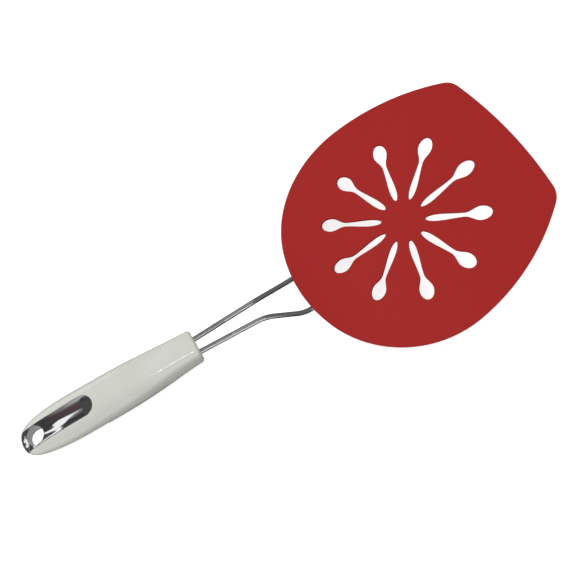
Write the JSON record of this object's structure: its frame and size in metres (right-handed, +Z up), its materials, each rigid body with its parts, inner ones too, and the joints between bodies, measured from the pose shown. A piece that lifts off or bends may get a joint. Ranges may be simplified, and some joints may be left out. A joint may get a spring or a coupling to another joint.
{
  "type": "slotted spatula",
  "caption": "Slotted turner with a round dished nylon blade on a bent wire shank, a rounded moulded handle and a plated insert with a hanging hole.",
  "frame": {"origin": "middle of the space the spatula takes up, at table height, with the spatula lying as it would be put down", "axes": "+X from the handle to the blade's front edge, level with the table; +Y to the left seen from above with the blade ahead; +Z up from the table"},
  "size_m": [0.3242, 0.1552, 0.0747],
  "materials": {
    "red_nylon": "semi-matte moulded nylon, deep red",
    "steel_wire": "drawn stainless wire, softly polished",
    "handle_core": "as moulded, out of sight",
    "ivory_shell": "glossy cream-white moulding",
    "plated_insert": "bright plating on a plastic moulding"
  },
  "bodies": {
    "root": {"blade": "red_nylon", "wire_frame": "steel_wire", "handle_core": "handle_core", "handle_shell": "ivory_shell", "hang_insert": "plated_insert"}
  },
  "joints": []
}
